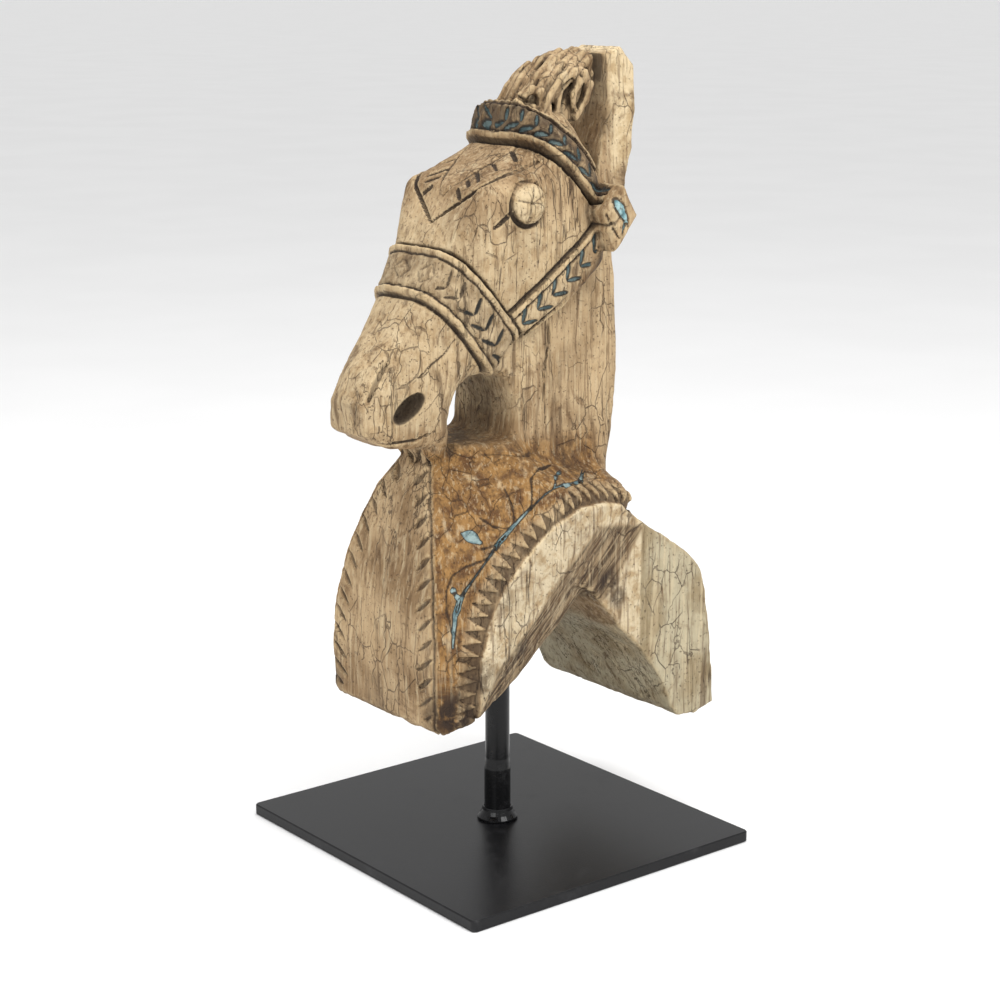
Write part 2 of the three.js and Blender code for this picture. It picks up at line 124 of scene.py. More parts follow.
CHEST_OUTLINE = [
    (-66, 292), (-82, 259), (-91, 226), (-98, 190), (-101, 150), (-100, 112), (-93, 106), (-83, 112),
    (-43, 131), (-21, 147), (10, 173), (27, 186), (50, 204), (62, 225), (66, 250), (60, 292), (0, 292),
]
CORNER_Y = [(105, -100), (145, -101), (180, -99), (210, -95), (235, -89), (259, -82), (291, -67), (300, -60)]
CORNER_HALF = [
    (105, 57), (145, 58.5), (165, 58), (195, 52.5), (215, 47.5), (237, 39.5), (262, 28), (291, 9),
    (300, 4),
]
RUMP_OUTLINE = [
    (27, 186), (53, 155), (73, 136), (91, 110), (101, 88), (108, 81), (125, 79), (143, 84), (142, 98),
    (137, 140), (133, 170), (126, 190), (116, 200), (57, 239), (40, 250), (0, 250), (0, 200),
]
NECK_OUTLINE = [
    (-34, 280), (-15, 292), (-12, 315), (-18, 334), (-40, 346), (-30, 380), (0, 420), (40, 450),
    (66, 462), (76, 499), (79, 515), (77, 544), (91, 549), (103, 536), (103, 505), (100, 480), (91, 452),
    (83, 430), (77, 410), (80, 350), (80, 330), (78, 300), (68, 258), (50, 230), (0, 250),
]
NECK_HALF = [(240, 36), (270, 37), (300, 35), (400, 34), (440, 29), (470, 24), (550, 21)]
NECK_ROUND = [(300, 7), (420, 7), (470, 3)]
HEAD_OUTLINE = [
    (2, 512), (-1, 488), (-44, 461), (-56, 438), (-66, 418), (-82, 392), (-100, 367), (-119, 347),
    (-129, 326), (-125, 306), (-105, 295), (-80, 292), (-60, 291), (-60, 310), (-57, 331), (-48, 338),
    (-36, 338), (-17, 362), (17, 379), (37, 396), (52, 412), (62, 430), (62, 462), (56, 488), (40, 509),
]
CHEEK_HALF = [(-20, 44), (0, 48), (40, 51), (75, 50), (110, 45), (145, 38), (180, 33), (205, 29)]
FACE_HALF = [(-20, 40), (30, 47), (50, 47), (72, 40), (92, 32), (110, 28), (145, 26), (182, 24), (205, 23)]
CHEEK_ROUND = [(-20, 42), (15, 36), (45, 11), (100, 14), (205, 14)]
FACE_ROUND = [(0, 4), (60, 6), (100, 14), (205, 12)]


CHEST_SIDE = 79
PANEL_SPREAD = 0.69
SHOULDER_TOP = (50, 20, 269)  # a place (side, y, z) on the sloping top of the breast
SHOULDER_FALL = (0.45, 0.2)  # how it falls outwards and backwards
ARCH_BEVEL = (26, 233)  # a place (y, z) on the bevel over the arch
RUMP_SIDE = 72


def chest_form(side, y, z):
    """The breast: a sharp middle part, a slanting panel on each side, and a bevel over the arch."""
    panel = (side - along(z, CORNER_HALF) - PANEL_SPREAD * (y - along(z, CORNER_Y))) * 0.8
    fall = SHOULDER_FALL[0] * (side - SHOULDER_TOP[0]) + SHOULDER_FALL[1] * (y - SHOULDER_TOP[1])
    shoulder = (z - SHOULDER_TOP[2] + fall) * 0.88
    past_arch = (y - ARCH_BEVEL[0]) * 0.699 - (z - ARCH_BEVEL[1]) * 0.715
    bevel = (side - CHEST_SIDE) * 0.9 + past_arch * 0.42
    d = trim(outline_distance(y, z, CHEST_OUTLINE), panel, 3)
    d = trim(d, side - CHEST_SIDE, 5)
    d = trim(d, bevel, 4)
    return trim(d, join(shoulder, (y + 25) * 0.5, 20), 8)


BROW_Z = 489
FACE_SLANT = (0.52, 0.854)  # sine and cosine of the face line's slant


def head_axes(y, z):
    """How far a point is down the face from the brow, and how far behind the face."""
    lean, drop = FACE_SLANT
    return -lean * y - drop * (z - BROW_Z), drop * y - lean * (z - BROW_Z)


def head_form(side, y, z):
    """The head: a thick outline, with each long corner between face and cheek cut to a slant."""
    down, behind = head_axes(y, z)
    corner = (side - along(down, FACE_HALF) - (behind + 20) * 0.9) * 0.74
    flank = side - along(down, CHEEK_HALF)
    d = trim(outline_distance(y, z, HEAD_OUTLINE), flank, along(down, CHEEK_ROUND))
    return trim(d, corner, along(down, FACE_ROUND))


# Half the width of each strap, and how far the straps stand out from the head, in mm.
NOSE_HALF, BROW_HALF, CHEEK_STRAP_HALF = 16, 12, 13
STRAP_RAISE = 2.6


def strap(y, z, normal, middle):
    """How far a point is across a strap from its middle line, and how far along it."""
    return normal[0] * y + normal[1] * z - middle, -normal[1] * y + normal[0] * z


def nose_strap(x, y, z):
    across, run = strap(y, z, (-0.76, -0.65), -209)
    return across, np.clip(x, -40, 40) + np.sign(x) * (run + 358)


def brow_strap(x, y, z):
    across, run = strap(y, z, (-0.717, -0.697), -351)
    return across + 5 * (x / 45) ** 2, np.clip(x, -45, 45) + np.sign(x) * (run + 361)


def cheek_strap(x, y, z):
    across, run = strap(y, z, (-0.61, 0.79), 303)
    return across, -run


def bridle(x, y, z, head):
    nose = nose_strap(x, y, z)[0]
    brow = brow_strap(x, y, z)[0]
    cheek = np.maximum(np.abs(cheek_strap(x, y, z)[0]) - CHEEK_STRAP_HALF, nose)
    cheek = np.maximum(cheek, 40 - np.abs(x))
    straps = np.minimum(np.minimum(np.abs(nose) - NOSE_HALF, np.abs(brow) - BROW_HALF), cheek)
    return trim(head - STRAP_RAISE, straps, 1.5)


# The forelock: locks that sweep back to a broken tip, a pair of beads, and a loop on the left. Each lock is
# its points (x, y, z) and its radius at each of them.
LOCKS = [
    ([(-6, 30, 503), (0, 46, 521), (3, 58, 532)], [12, 10, 7]),
    ([(9, 44, 500), (9, 50, 520), (8, 58, 530)], [9, 8, 7]),
    ([(-16, 12, 504), (-15, 24, 521), (-13, 31, 530)], [5, 5, 5]),
    ([(-13, 33, 532), (-12, 37, 535)], [5, 4.5]),
    ([(-10, 45, 537), (-9, 51, 539)], [5, 4.5]),
    ([(-6, 13, 506), (-5, 26, 526), (-3, 40, 538), (0, 53, 543)], [6, 6, 5, 5]),
    ([(4, 17, 512), (5, 30, 529), (6, 44, 539), (7, 61, 545)], [4.6, 4.6, 4.6, 4]),
    ([(10, 22, 514), (11, 34, 528), (12, 48, 537), (12, 64, 543)], [4.4, 4.6, 4.6, 4]),
    ([(15, 28, 512), (15, 38, 525), (15, 50, 534), (14, 64, 539)], [4, 4.4, 4.4, 4]),
    ([(3, 63, 544), (10, 68, 540), (11, 70, 531)], [5, 5, 4]),
    ([(20, 25, 502), (20, 28, 517), (20, 38, 528), (20, 48, 533),
      (20, 57, 532), (20, 62, 524), (19, 60, 514), (18, 52, 503)], [3.4, 3.4, 3.2, 3.2, 3.6, 3.8, 3.4, 3]),
    ([(18, 37, 500), (17, 37, 515), (17, 43, 524), (18, 49, 529)], [2.8, 2.6, 2.6, 2.4]),
    ([(21, 49, 533), (22, 52, 526), (21, 47, 518), (20, 50, 508)], [3, 3, 2.6, 2.2]),
    ([(15, 4, 510), (16, 8, 518), (16, 15, 522), (16, 23, 520), (16, 26, 513), (16, 22, 505)],
     [3, 3, 3.4, 3.6, 3.4, 3]),
]
BEADS = [((14, 9, 510), 5.2), ((15, 16, 509), 5.0)]


def forelock(x, y, z):
    d = None
    for points, radii in LOCKS:
        lock = bent_roll(x, y, z, points, radii, blend=2)
        d = lock if d is None else join(d, lock, 0.8)
    for (bx, by, bz), radius in BEADS:
        d = join(d, np.sqrt((x - bx) ** 2 + (y - by) ** 2 + (z - bz) ** 2) - radius, 0.8)
    return d


def plain_form(x, y, z):
    """The whole carving before its details and marks."""
    side = np.abs(x)
    rump = trim(outline_distance(y, z, RUMP_OUTLINE), side - RUMP_SIDE, 3)
    d = join(chest_form(side, y, z), rump, 3)
    neck = trim(outline_distance(y, z, NECK_OUTLINE), side - along(z, NECK_HALF), along(z, NECK_ROUND))
    d = join(d, neck, 8)
    head = head_form(side, y, z)
    return join(d, join(head, bridle(x, y, z, head), 1), 3)


BOSS_OUTLINE = [(41, 443), (54, 459), (65, 440), (48, 418)]
BOSS_SIDE = 68


def boss_form(x, y, z):
    """The pillow-shaped rosette where the straps meet."""
    return trim(outline_distance(y, z, BOSS_OUTLINE), np.abs(x) - BOSS_SIDE, 8) - 1.5


def nostril(side, y, z):
    """A slanting hollow, longest from its upper back end to its lower front end."""
    back, up = y + 97, z - 323
    return ellipsoid(side - 31, 0.77 * back + 0.64 * up, 0.64 * back - 0.77 * up, 12, 12.5, 6.2)


HOLE_Y, HOLE_Z = -39, 315
HOLE_HALF_Y, HOLE_HALF_Z = 24, 23
SQUARENESS = 2.5  # 2 is an oval, and more is nearer a rounded square


def chin_hole(y, z):
    """The opening between chin, neck and breast, right through from side to side."""
    across = (np.abs(y - HOLE_Y) / HOLE_HALF_Y) ** SQUARENESS
    up = (np.abs(z - HOLE_Z) / HOLE_HALF_Z) ** SQUARENESS
    return (np.power(across + up, 1 / SQUARENESS) - 1) * HOLE_HALF_Z


EYE_Y, EYE_Z = -14, 451
EYE_RADIUS, EYE_RING = 14, 14.3  # of the ball, and of the groove round it


def add_eye(d, x, y, z):
    """A flattened ball that bulges from the side of the head."""
    return join(d, ellipsoid(np.abs(x) - 49, y - EYE_Y, z - EYE_Z, 8, EYE_RADIUS, EYE_RADIUS), 1)


def add_chin_tuft(d, x, y, z):
    """A short roll between the chin and the top of the breast."""
    return join(d, roll(x, y, z, (-15, -66, 290), (15, -66, 290), 8, 8), 4)


# What is added to the plain form or cut from it, each with the box of space that it needs.
DETAILS = [
    ((-90, -45, 420), (90, 15, 480), add_eye),
    ((-35, -10, 485), (35, 90, 556), lambda d, x, y, z: join(d, forelock(x, y, z), 1.5)),
    ((-90, 25, 400), (90, 90, 475), lambda d, x, y, z: join(d, boss_form(x, y, z), 2)),
    ((-32, -90, 270), (32, -45, 310), add_chin_tuft),
    ((-50, -120, 300), (50, -80, 345), lambda d, x, y, z: trim(d, -nostril(np.abs(x), y, z), 2)),
    ((-90, -75, 280), (90, -5, 350), lambda d, x, y, z: trim(d, -chin_hole(y, z), 2)),
]


# ---------------------------------------------------------------- carved and painted marks
# Marks are placed by side (distance from the mid plane), y and z, so both sides carry them.

LINE_SLACK = 7  # mm that a line may be off the surface


def line_place(p, facing, points):
    """Distance over the surface from places p to a line, or FAR, and how far along the line from 0 to 1.

    What lies along facing, the way the surface faces at p, doesn't count, so a line may be a little off it.
    """
    knots = np.array(points, float)
    near = np.flatnonzero(((p > knots.min(0) - FAR) & (p < knots.max(0) + FAR)).all(1))
    q, n = p[near], facing[near]
    best = np.full(len(near), FAR)
    part = np.zeros(len(near))
    for i, (a, b) in enumerate(zip(knots, knots[1:])):
        e = b - a
        t = np.clip((q - a) @ e / (e @ e), 0, 1)
        off = q - a - t[:, None] * e
        deep = (off * n).sum(1)
        over = np.sqrt(np.maximum((off * off).sum(1) - deep * deep, 0))
        gap = over + np.maximum(np.abs(deep) - LINE_SLACK, 0)
        part = np.where(gap < best, (i + t) / (len(knots) - 1), part)
        best = np.minimum(best, gap)
    gap = np.full(len(p), FAR)
    place = np.zeros(len(p))
    gap[near] = best
    place[near] = part
    return gap, place


def ditch(gap, width, depth):
    """A rounded cut of the given width and depth along gap 0."""
    return depth * np.clip(1 - (gap / (width / 2)) ** 2, 0, 1)


# The painted vine of the breast panels.
STEM = [
    (64, -88, 168), (63, -85, 190), (63, -78, 203), (66, -61, 223), (67, -51, 234), (68, -41, 243),
    (70, -29, 253), (71, -15, 262), (68, 3, 265), (61, 24, 264), (48, 37, 267),
]
# Each stroke is its points, its width, its depth, and whether it is painted.
VINE = [
    (STEM, 2.5, 1.5, 1),
    ([(70, -27, 252), (66, -23, 264), (60, -19, 271), (55, -8, 275), (44, 12, 274)], 2.0, 1.4, 0),
    ([(70, -8, 264), (59, 4, 270), (51, 15, 271)], 2.0, 1.1, 1),
    ([(50, 35, 267), (49, 45, 265), (55, 48, 261), (58, 33, 263)], 1.8, 1.0, 0),
    ([(67, -39, 246), (63, -37, 255), (54, -37, 266)], 2.0, 1.2, 0),
    ([(62, -62, 230), (66, -54, 232), (68, -47, 238)], 2.0, 1.2, 0),
    ([(66, -61, 224), (59, -74, 219), (56, -82, 214), (56, -87, 204), (59, -89, 191), (64, -88, 178)],
     2.0, 1.2, 0),
    ([(68, -43, 242), (61, -51, 243), (54, -57, 249)], 2.0, 1.2, 0),
    ([(34, -40, 286), (40, -30, 285), (46, -17, 283), (38, 4, 283)], 2.2, 1.0, 0),
    ([(60, -85, 206), (63, -82, 200), (64, -84, 190)], 3.0, 1.3, 1),
]
LEAF = [(51, -70, 240), (55, -66, 238), (60, -62, 234)]

# The carved leaf over the brow: its outline, its vein and the hatches between them.
BROW_LEAF = [
    (0, -56, 438), (9, -53, 444), (20, -49, 451), (31, -45, 458), (38, -37, 466), (42, -18, 473),
    (43, 2, 479),
]
BROW_VEIN = [(2, -47, 455), (11, -37, 466), (18, -22, 475), (24, -2, 485)]
HATCHES = [
    [(24, -7, 483), (32, -10, 478)], [(21, -20, 475), (30, -24, 471)], [(16, -30, 470), (27, -37, 465)],
    [(15, -37, 465), (23, -42, 462)], [(14, -45, 460), (20, -48, 455)],
]

# Each cut is its points, its width, its depth, and how dark the painted shade in it is.
FACE_CUTS = [
    (BROW_LEAF, 3.2, 1.9, 0.9),
    (BROW_LEAF[:5], 3.4, 1.2, 1.0),
    (BROW_VEIN, 2.8, 1.5, 0.9),
    ([(21, -108, 353), (20, -116, 340), (19, -121, 329)], 4.4, 2.4, 0.42),
    ([(14, -118, 300), (27, -106, 301), (28, -91, 301), (31, -76, 305)], 2.0, 2.0, 0.9),
    ([(22, -112, 306), (21, -102, 316), (24, -97, 330), (33, -88, 338)], 2.4, 1.8, 0.5),
    ([(50, -42, 437), (51, -33, 443), (51, -28, 446)], 3.0, 2.6, 1.0),
    ([(39, -65, 367), (37, -73, 357), (36, -83, 350), (32, -95, 339)], 1.7, 1.5, 1.1),
    ([(46, -30, 376), (48, -20, 372)], 1.6, 1.2, 1.0),
    ([(46, -27, 383), (48, -17, 378)], 1.6, 1.2, 1.0),
    ([(36, 17, 372), (36, 16, 352), (36, 12, 330), (36, 14, 300)], 1.6, 1.8, 0.9),
    ([(36, 58, 392), (35, 60, 350), (36, 50, 310)], 1.3, 1.0, 0.9),
    ([(65, 39, 443), (67, 43, 434), (68, 49, 426)], 2.4, 1.6, 1.0),
]
BOSS_LEAF = [(65, 45, 454), (69, 50, 445), (69, 57, 433)]
EYE_MIDDLE = (57, -16, 452)
EYE_CRACK_ENDS = [(53, -27, 455), (53, -5, 456), (54, -17, 439), (54, -12, 463)]

# The line of teeth and the bare strip under the arch, as (y, z), and the sizes of what repeats, in mm.
TOOTH_LINE = [(-80, 118), (-81, 140), (-80, 159), (-75, 176), (-70, 191), (-61, 206), (-51, 220), (-36, 234),
              (-17, 247), (8, 257), (33, 257), (52, 252), (60, 246)]
STRIP = [
    (26, 233), (-8, 203), (-32, 175), (-59, 150), (-74, 109), (-35, 127), (-12, 143), (19, 169),
    (41, 186), (69, 226),
]
TOOTH_PITCH, TOOTH_DEPTH, TOOTH_SLOPE = 9.1, 2.3, 0.28
SLASH_PITCH, SLASH_DEPTH, SLASH_IN, SLASH_HALF = 12.9, 1.9, 9, 8.5
FLUTE_PITCH, FLUTE_DEPTH = 6.4, 1.5


def leaf_slot(across, run, start, end, width):
    """Distance outside a leaf-shaped slot from start to end, both (across, run), in a strap's own plane."""
    ea, er = end[0] - start[0], end[1] - start[1]
    size = math.hypot(ea, er)
    t = ((across - start[0]) * ea + (run - start[1]) * er) / size**2
    off = np.abs((across - start[0]) * er - (run - start[1]) * ea) / size
    reach = np.maximum(np.abs(t - 0.5) - 0.5, 0) * size
    return np.hypot(np.maximum(off - width * 0.5 * np.clip(4 * t * (1 - t), 0, 1) ** 0.6, 0), reach)


def chevrons(across, run, pitch, first, arms):
    """Distance outside the nearest slot of a row of chevrons whose points are pitch apart."""
    here = (run - first + pitch / 2) % pitch - pitch / 2
    best = np.full(across.shape, FAR)
    for shift in (-pitch, 0, pitch):
        for start, end, width in arms:
            best = np.minimum(best, leaf_slot(across, here + shift, start, end, width))
    return best


# The slots of one chevron, each from a start to an end (across, run), and its width.
BROW_ARMS = [((-6.2, -4.5), (0.8, 1.0), 2.5), ((2.0, 0.0), (5.0, -12.0), 2.7)]
NOSE_ARMS = [((-8.5, -5.0), (1.5, 0.5), 2.3), ((2.6, 0.0), (7.6, -11.0), 2.0)]
CHEEK_ARMS = [((8.6, 9.0), (1.0, 0.0), 2.3), ((0.0, 0.0), (-6.5, 10.0), 2.2)]
DIAMOND = [(-7, 0), (0, -9), (7, 0), (0, 9)]
DIAMOND_ARMS = [(start, end, 1.8) for start, end in zip(DIAMOND, DIAMOND[1:] + DIAMOND[:1])]


def lattice_noise(p, cell, seed):
    """Smooth noise from -1 to 1 with bumps of about the given size, which may differ along each axis."""
    period = 64
    table = np.random.default_rng(seed).uniform(-1, 1, (period,) * 3).astype(np.float32)
    q = p / np.asarray(cell, float) + 17
    base = np.floor(q).astype(np.int64)
    f = q - base
    f = f * f * (3 - 2 * f)
    total = np.zeros(len(p))
    for corner in range(8):
        step = np.array([corner & 1, corner >> 1 & 1, corner >> 2 & 1])
        at = (base + step) % period
        weight = np.prod(np.where(step, f, 1 - f), axis=1)
        total += weight * table[at[:, 0], at[:, 1], at[:, 2]]
    return total


def ramp(value, low, high):
    """0 where value is at low and 1 where it is at high, with a soft step between."""
    t = np.clip((value - low) / (high - low), 0, 1)
    return t * t * (3 - 2 * t)


def swelling(place, start=0.05, end=0.95):
    """How full a leaf-shaped stroke is at a place from 0 to 1 along it, with its tips blunted."""
    return np.sin(math.pi * np.clip(place, start, end))


class Marks:
    """What is done to a set of places in mm: cuts, painted shade in the cuts, and distance outside the paint.
    """

    def __init__(self, points, normals):
        self.x, self.y, self.z = points.T
        self.side = np.abs(self.x)
        self.places = np.stack([self.side, self.y, self.z], axis=1)
        outward = normals[:, 0] * np.where(self.x < 0, -1, 1)
        self.facing = np.stack([outward, normals[:, 1], normals[:, 2]], axis=1)
        self.cut = np.zeros(len(points))
        self.cut_shade = np.zeros(len(points))
        self.paint = np.full(len(points), FAR)

    def carve(self, amount, darkening=1.0):
        """Cuts by some mm, and paints shade into the cut in proportion to its depth."""
        self.cut += amount
        self.cut_shade = np.maximum(self.cut_shade, amount * darkening)

    def coat(self, gap):
        self.paint = np.minimum(self.paint, gap)

    def line(self, points):
        return line_place(self.places, self.facing, points)

    def stroke(self, points, width, depth):
        self.carve(ditch(self.line(points)[0], width, depth))


# Cuts along both edges of a strap: how far in from the edge, how wide, how deep. The swell stands out.
RIM_GROOVE = (4.8, 2.4, 1.7)
RIM_EDGE = (-1.0, 2.8, 2.0)
RIM_SWELL = (2.3, 4.0, 0.8)
BROW_SHADOW = (1.6, 4.4, 2.2)
SLOT_DEPTH = 1.4
DIAMOND_DEPTH = 1.1
BROW_GROUND, NOSE_GROUND = 0.75, 0.3  # how dirty the ground of the straps is


def rim_ditch(rim, shape):
    inset, width, depth = shape
    return ditch(rim - inset, width, depth)


def cut_straps(wood):
    """Rims, grooves and slots of the bridle. Gives back how dirty the ground of the straps is."""
    x, y, z, side = wood.x, wood.y, wood.z, wood.side
    behind_face = head_axes(y, z)[1]
    nose, nose_run = nose_strap(x, y, z)
    brow, brow_run = brow_strap(x, y, z)
    cheek, cheek_run = cheek_strap(x, y, z)
    on_head = ramp(z, 296, 306) * ramp(behind_face, 75, 60) * ((y < 62) | (z > 470))
    on_nose = on_head * (np.abs(nose) < NOSE_HALF + 3) * (behind_face < 52)
    on_brow = (np.abs(brow) < BROW_HALF + 3) * (z > 420) * ((side > 30) | (y < 14)) * (y < 52) * (side < 56)
    on_cheek = on_head * (np.abs(cheek) < CHEEK_STRAP_HALF + 3) * (side > 38)
    on_cheek = on_cheek * (nose < -NOSE_HALF) * (brow > BROW_HALF)

    wave = 0.2 * np.sin(nose_run * 0.33) + 0.2 * np.sin(brow_run * 0.41)
    straps = ((on_nose, nose, NOSE_HALF), (on_brow, brow, BROW_HALF), (on_cheek, cheek, CHEEK_STRAP_HALF))
    for on, across, half in straps:
        rim = half - np.abs(across)
        wood.carve(on * rim_ditch(rim + wave, RIM_GROOVE))
        wood.carve(on * rim_ditch(rim, RIM_EDGE))
        wood.cut -= on * rim_ditch(rim + wave, RIM_SWELL)
    wood.carve(on_brow * rim_ditch(brow - BROW_HALF, BROW_SHADOW))

    slots_brow = np.where(on_brow > 0, chevrons(brow - 1, brow_run, 15, 10, BROW_ARMS), FAR)
    slots_nose = chevrons(nose, nose_run, 14.5, 72.5, NOSE_ARMS)
    slots_nose = np.where((on_nose > 0) & (nose_run > 36), slots_nose, FAR)
    slots_cheek = np.where(on_cheek > 0, chevrons(cheek - 1, cheek_run, 14.2, 214.7, CHEEK_ARMS), FAR)
    diamonds = chevrons(nose, nose_run, 26, 19, DIAMOND_ARMS)
    diamonds = np.where((on_nose > 0) & (np.abs(nose_run) < 38), diamonds, FAR)
    for slots in (slots_brow, slots_nose, slots_cheek):
        wood.carve(SLOT_DEPTH * ramp(slots, 1.0, -0.1))
        wood.coat(slots)
    wood.carve(DIAMOND_DEPTH * ramp(diamonds, 0.9, -0.2))

    # The noseband has lost its paint towards the front, and keeps thin traces towards the cheek.
    by_nose_slot = slots_nose < 3
    wood.paint = np.where(by_nose_slot, np.where(nose_run < 66, 3.0, slots_nose + 0.3), wood.paint)
    brow_ground = BROW_GROUND * on_brow * (np.abs(brow) < BROW_HALF - 3)
    nose_ground = NOSE_GROUND * on_nose * (np.abs(nose) < NOSE_HALF - 4)
    return np.maximum(brow_ground, nose_ground)


def cut_face(wood):
    """A ring round the eye ball, widest below and in front, and the lines of the face and the rosette."""
    ring = np.abs(np.hypot(wood.y - EYE_Y, wood.z - EYE_Z) - EYE_RING)
    low_front = np.clip((-(wood.y - EYE_Y) * 0.6 - (wood.z - EYE_Z) * 0.8) / EYE_RING, 0, 1)
    moat = ditch(ring, 1.6 + 2.6 * low_front, 1.2 + 1.6 * low_front)
    wood.carve((wood.side > 42) * moat, 0.6 + 0.5 * low_front)
    for end in EYE_CRACK_ENDS:
        wood.stroke([EYE_MIDDLE, end], 2.2, 1.3)
    for points, width, depth, darkening in FACE_CUTS:
        gap, place = wood.line(points)
        wood.carve(ditch(gap, width * (0.5 + 0.5 * swelling(place)), depth), darkening)
    for hatch in HATCHES:
        wood.stroke(hatch, 3.4, 1.9)

    gap, place = wood.line(BOSS_LEAF)
    lens = gap - 3.4 * swelling(place, 0.02, 0.98)
    wood.carve(ditch(lens, 2.2, 1.2), 1.2)
    wood.coat(lens + 0.9)
    # Painted shade deep in the nostril hollow.
    wall = np.abs(nostril(wood.side, wood.y, wood.z))
    in_nostril = ramp(wall, 2.6, 0.2) * (wood.z < 345) * (wood.y < -80)
    wood.cut_shade = np.maximum(wood.cut_shade, 1.5 * in_nostril)


def cut_ridge(wood, corner):
    """Slanting slashes beside the ridge of the breast, and the groove along it."""
    on_front = (wood.z < 292) * (wood.y < -58)
    slash = (wood.z - 0.7 * (corner + SLASH_IN)) / SLASH_PITCH
    gap = np.abs(slash - np.round(slash)) * SLASH_PITCH
    fit = np.clip(1 - ((corner + SLASH_IN) / SLASH_HALF) ** 2, 0, 1)
    slashes = ramp(gap - 2.2 * fit, 0.8, -0.8) * (fit > 0)
    wood.carve(on_front * (wood.z > 116) * SLASH_DEPTH * slashes, 0.62)
    wood.carve(on_front * ditch(corner + 0.5, 3.2, 1.5), 0.9)


def cut_teeth(wood, gap, inner, run):
    """A row of teeth along the outer edge of the breast. Gives back where the wood between them is."""
    on_edge = (wood.side > 58) * (wood.z > 108) * (np.abs(inner) < 8.5) * (gap < FAR)
    off_middle = np.abs(run / TOOTH_PITCH - np.round(run / TOOTH_PITCH)) * TOOTH_PITCH
    half = TOOTH_PITCH * 0.5 * np.clip((inner + 6.2) / 11.5, 0, 1)
    tooth = ramp(half - off_middle, -0.6, 0.9)
    between = on_edge * (1 - tooth) * ramp(np.abs(inner), 7.2, 6.0)
    wood.carve(TOOTH_DEPTH * between, 0.42)
    wood.carve(on_edge * ditch(half - off_middle, 1.8, 0.5) * (np.abs(inner) < 6), 2.2)
    wood.carve(on_edge * TOOTH_SLOPE * off_middle * tooth, 0)
    return between


def cut_vine(wood):
    for points, width, depth, painted in VINE:
        gap, place = wood.line(points)
        fat = width * (0.8 + 0.3 * np.sin(place * 17))
        wood.carve(ditch(gap, fat + 0.8, depth), 1.2)
        if painted:
            wood.coat(gap - fat / 2 + 0.5)
    gap, place = wood.line(LEAF)
    blade = gap - 3.6 * swelling(place, 0.03, 0.93) ** 0.8
    wood.carve(0.9 * ramp(blade, 0.8, -0.8), 0.3)
    wood.coat(blade)


def cut_forelock(wood):
    """Flutes along the sweep of the locks."""
    flute = wood.x + (wood.y * 0.8 - (wood.z - 500) * 0.62) * 0.7
    on_locks = ramp(wood.z, 503, 509) * (wood.y < 75) * (wood.side < 30)
    wood.carve(on_locks * FLUTE_DEPTH * (1 - np.abs(np.sin(flute * math.pi / FLUTE_PITCH)) ** 0.6))


def zones_of(wood, corner, inner):
    """How much each finish of the wood shows at each place, from 0 to 1, with a painted highlight on the eye
    ball in the pale one.
    """
    y, z, side = wood.y, wood.z, wood.side
    strip = outline_distance(y, z, STRIP)
    in_strip = ramp(strip, 3, -2) * (side > 40)
    below_teeth = (inner < -7) & (y < 70) & (z < 262)
    mane_block = ramp(y, 74, 84) * ramp(z, 440, 480)
    neck_front = ramp(y, 0, 12) * ramp(z, 430, 400) * ramp(z, 270, 300) * (side < 45)
    lower_face = ramp(z, 300, 315) * ramp(y - 0.35 * (z - 300), 0, -15) * ramp(z, 458, 425)
    # The eye ball is made paler: a painted highlight on its bulge.
    eye_ball = (side > 42) * ramp(np.hypot(y - EYE_Y, z - EYE_Z), EYE_RADIUS, EYE_RADIUS - 2)
    rump = ramp(y - 0.25 * (z - 180), 48, 66) * ramp(z, 262, 236)
    return {
        "orange": ramp(corner, -1, 3) * ramp(inner, 3, 8) * ramp(z, 300, 284) * ramp(y, 66, 50) * (z > 105),
        "cream": below_teeth * ramp(side, 66, 74) * ramp(strip, -1, 4) * ramp(z, 105, 150),
        "grey": np.maximum(in_strip, rump),
        "pale": np.maximum.reduce([mane_block, 0.2 * neck_front, 0.45 * lower_face, 0.8 * eye_ball]),
        "strip": in_strip,
    }


def marks(points, normals):
    """The cut in mm at each point, what lies between teeth, how dirty strap grounds are, and the finish, with
    the painted shade in the cuts.
    """
    wood = Marks(points, normals)
    corner = wood.side - along(wood.z, CORNER_HALF)
    gap, inner, run = path_place(wood.y, wood.z, TOOTH_LINE)
    ground = cut_straps(wood)
    cut_face(wood)
    cut_ridge(wood, corner)
    between = cut_teeth(wood, gap, inner, run)
    cut_vine(wood)
    cut_forelock(wood)
    finish = {"cut_shade": wood.cut_shade, "paint": wood.paint, **zones_of(wood, corner, inner)}
    return wood.cut, between, ground, finish


def weathering(points, in_strip):
    """Small hollows and bumps of worn wood, in mm, with coarser strands along the strip under the arch."""
    x, y, z = points.T
    rough = 0.45 * lattice_noise(points, 13, 3) + 0.28 * lattice_noise(points, 5, 4)
    fibre = lattice_noise(points, (3.2, 3.2, 26), 5)
    along_strip = np.stack([x, y * 0.66 + z * 0.75, z * 0.66 - y * 0.75], axis=1)
    strands = lattice_noise(along_strip, (3, 30, 3), 6)
    return 0.22 * fibre + rough + in_strip * (0.7 * strands + 0.3)


# ---------------------------------------------------------------- skin

SHADE_REACHES = (2.6, 5.2, 9.0, 15.0)
BAND = 6  # mm on each side of the plain form in which marks are worked out
STEPS = np.eye(3, dtype=int)


def shifted(grid, start, end):
    """Part of a grid: start and end are how many layers are left out of it at each side of each axis."""
    return grid[tuple(slice(a, n - b) for a, b, n in zip(start, end, grid.shape))]


